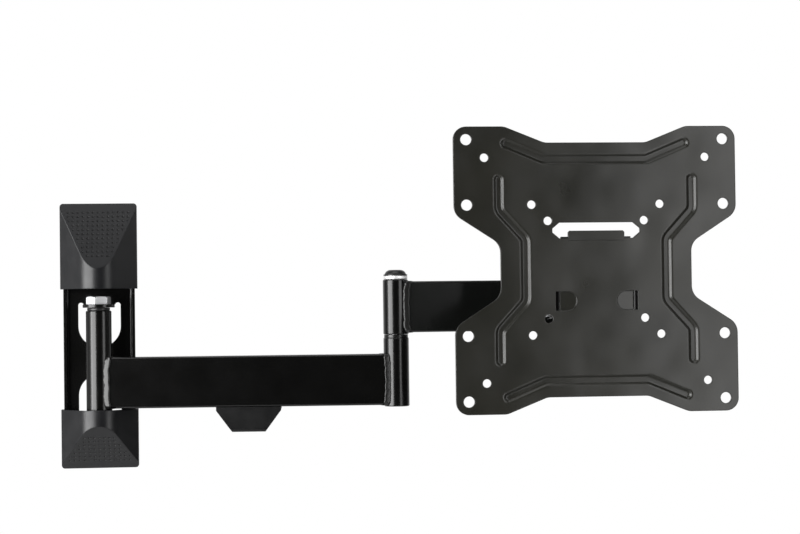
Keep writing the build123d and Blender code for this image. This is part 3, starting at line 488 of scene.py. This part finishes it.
# Camera at the photograph's viewing angle
turn = math.radians(6.19)
pitch = math.radians(-1.16)
roll = math.radians(-0.72)
distance = 1.586  # from the frame's origin, along the view
lens, sensor = 90, 36
picture_wide, picture_high = 800, 534
origin_across, origin_down = 100.1, 362.5  # where the frame's origin falls in that picture
focal = picture_wide * lens / sensor
ahead = Vector((math.sin(turn) * math.cos(pitch), math.cos(turn) * math.cos(pitch), -math.sin(pitch)))
level = Vector((math.cos(turn), -math.sin(turn), 0))
steep = level.cross(ahead)
right = math.cos(roll) * level + math.sin(roll) * steep
up = math.cos(roll) * steep - math.sin(roll) * level
aside = right * (origin_across - picture_wide / 2) / focal
below = up * (origin_down - picture_high / 2) / focal
place = -(ahead + aside - below) * distance
camera_data = bpy.data.cameras.new("camera")
camera_data.lens = lens
camera_data.sensor_width = sensor
camera = bpy.data.objects.new("camera", camera_data)
camera.matrix_world = Matrix((
    (right.x, up.x, -ahead.x, place.x),
    (right.y, up.y, -ahead.y, place.y),
    (right.z, up.z, -ahead.z, place.z),
    (0, 0, 0, 1),
))
bpy.context.collection.objects.link(camera)
bpy.context.scene.camera = camera

# Floor, well below the mount, shown paler to the camera than its light alone would show it
half_floor = 1.6
floor_glow = 0.5
floor_mesh = bpy.data.meshes.new("floor")
floor_mesh.from_pydata(
    [(x * half_floor, y * half_floor, 0) for x, y in ((-1, -1), (1, -1), (1, 1), (-1, 1))], [], [(0, 1, 2, 3)]
)
floor = bpy.data.objects.new("floor", floor_mesh)
floor.location = (0.2, 0, -0.9)
bpy.context.collection.objects.link(floor)
floor_mat, floor_tree, floor_shader, _ = new_material("floor")
to_camera = make(floor_tree, "ShaderNodeLightPath", "Is Camera Ray", {})
fill(floor_tree, floor_shader, {
    "Base Color": (0.8, 0.8, 0.8, 1),
    "Roughness": 0.9,
    "Emission Color": (1, 1, 1, 1),
    "Emission Strength": compute(floor_tree, "MULTIPLY", to_camera, floor_glow),
})
floor_mesh.materials.append(floor_mat)


# Lights

def area(name, at, target, wide, high, power):
    data = bpy.data.lights.new(name, "AREA")
    data.shape = "RECTANGLE"
    data.size = wide
    data.size_y = high
    data.energy = power
    lamp = bpy.data.objects.new(name, data)
    lamp.location = at
    lamp.rotation_euler = (Vector(target) - Vector(at)).to_track_quat("-Z", "Y").to_euler()
    bpy.context.collection.objects.link(lamp)


area("left", (-0.7, -0.64, 0.1), (0.05, 0, 0.02), 0.8, 1.1, 22)
area("far_left", (-1.35, -0.52, 0.1), (0.3, 0, 0.02), 0.5, 1.1, 4.5)
area("right", (0.7, -0.64, 0.05), (0.36, 0, 0.02), 0.32, 1.1, 3.2)
area("left_side", (-1.7, 0.0, 0.2), (0, 0, 0.02), 0.9, 1.2, 1.6)
area("right_side", (1.7, -0.1, 0.57), (0, 0, 0.1), 0.9, 1.0, 2.2)
area("top", (0.1, -0.5, 1.6), (0.2, 0, 0), 1.2, 0.8, 7)

# World: white to the camera and dim as a light. In reflections it is white behind the object and dark on the
# camera's side
seen_strength = 1.0
light_strength = 0.14
mirror_dark, mirror_white = 0.03, 1.0
world = bpy.data.worlds.new("world")
bpy.context.scene.world = world
world.use_nodes = True
sky = world.node_tree
sky.nodes.clear()
rays = sky.nodes.new("ShaderNodeLightPath").outputs
backwards = split(sky, make(sky, "ShaderNodeTexCoord", "Generated", {}), "Y")
mirrored = remap(sky, backwards, 0.2, 0.9, mirror_dark, mirror_white)
in_mirror = compute(sky, "MAXIMUM", rays["Is Glossy Ray"], rays["Is Transmission Ray"])
unseen = choose(sky, in_mirror, light_strength, mirrored)
strength = choose(sky, rays["Is Camera Ray"], unseen, seen_strength)
background = make(sky, "ShaderNodeBackground", 0, {"Color": (1, 1, 1, 1), "Strength": strength})
fill(sky, sky.nodes.new("ShaderNodeOutputWorld"), {"Surface": background})

bpy.context.scene.view_settings.view_transform = "Standard"
